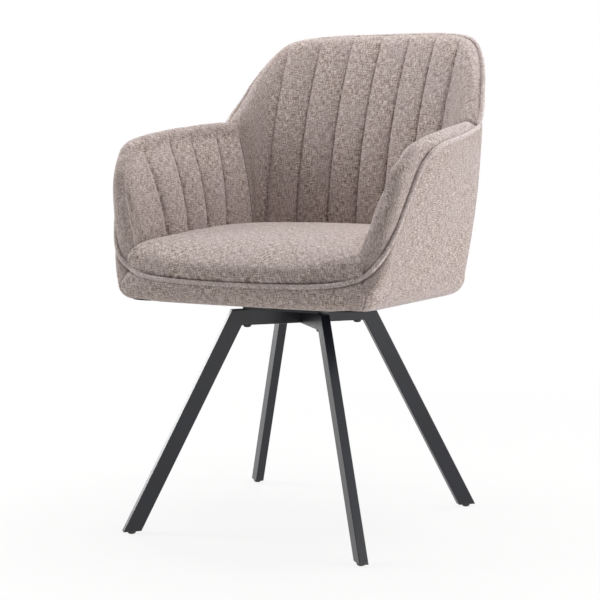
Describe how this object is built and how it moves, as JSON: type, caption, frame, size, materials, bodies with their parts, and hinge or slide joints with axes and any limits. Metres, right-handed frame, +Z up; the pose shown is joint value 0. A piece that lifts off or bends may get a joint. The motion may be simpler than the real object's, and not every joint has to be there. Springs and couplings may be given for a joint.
{
  "type": "swivel armchair",
  "caption": "Upholstered tub armchair with channelled back and arms, piped edges and a deep seat cushion, turning on a flat ball-bearing swivel over splayed black steel legs",
  "frame": {"origin": "On the floor, under the middle of the chair's bounding box. The swivel axis stands 58.96 mm ahead of it.", "axes": "+Z up, +X to the chair's right side as it is seen from the front, -Y out of the seat's open front"},
  "size_m": [0.6096, 0.63, 0.8839],
  "materials": {
    "woven_fabric": "heathered taupe chenille-like weave with slubs, fully matt",
    "welt_fabric": "the same weave cut on the bias and sewn round a cord",
    "plywood": "raw bent plywood",
    "dust_cloth": "black non-woven cloth, matt",
    "black_steel": "fine-textured matt black powder coat",
    "black_bolt_steel": "black oxide, low sheen",
    "zinc_steel": "bright zinc plate",
    "bearing_steel": "pressed and hardened, oiled",
    "ball_steel": "polished bearing steel",
    "cage_plastic": "natural nylon",
    "bush_bronze": "sintered bronze, oiled",
    "black_plastic": "moulded black nylon, satin"
  },
  "bodies": {
    "base": {"cross_bar": "black_steel", "right_half_bar": "black_steel", "left_half_bar": "black_steel", "back_right_leg": "black_steel", "back_left_leg": "black_steel", "front_left_leg": "black_steel", "front_right_leg": "black_steel", "back_right_end_plug": "black_plastic", "back_left_end_plug": "black_plastic", "front_left_end_plug": "black_plastic", "front_right_end_plug": "black_plastic", "back_right_glide": "black_plastic", "back_left_glide": "black_plastic", "front_left_glide": "black_plastic", "front_right_glide": "black_plastic", "base_bolts": "black_bolt_steel", "base_nuts": "black_bolt_steel", "lower_swivel_plate": "black_steel", "lower_race": "bearing_steel", "pivot_pin": "zinc_steel", "pin_washer": "zinc_steel", "retaining_clip": "black_bolt_steel"},
    "cage": {"ball_cage": "cage_plastic", "bearing_balls": "ball_steel"},
    "seat": {"seat_cushion": "woven_fabric", "back_pad": "woven_fabric", "right_arm_pad": "woven_fabric", "left_arm_pad": "woven_fabric", "front_cover": "woven_fabric", "back_cover": "woven_fabric", "right_side_cover": "woven_fabric", "left_side_cover": "woven_fabric", "seat_welt": "welt_fabric", "rim_welt": "welt_fabric", "right_frame_panel": "plywood", "left_frame_panel": "plywood", "back_frame_panel": "plywood", "front_frame_rail": "plywood", "seat_board": "plywood", "dust_cover": "dust_cloth", "tee_nuts": "zinc_steel", "seat_bolts": "black_bolt_steel", "upper_swivel_plate": "black_steel", "upper_race": "bearing_steel", "pivot_bush": "bush_bronze"}
  },
  "joints": [
    {"name": "seat_swivel", "type": "hinge", "parent": "base", "child": "seat", "pos_m": [0, -0.05896, 0.41], "axis": [0, 0, 1], "continuous": true},
    {"name": "cage_spin", "type": "hinge", "parent": "base", "child": "cage", "pos_m": [0, -0.05896, 0.4025], "axis": [0, 0, 1], "continuous": true}
  ],
  "couplings": [
    {"joint": "cage_spin", "follows": "seat_swivel", "ratio": 0.5}
  ]
}
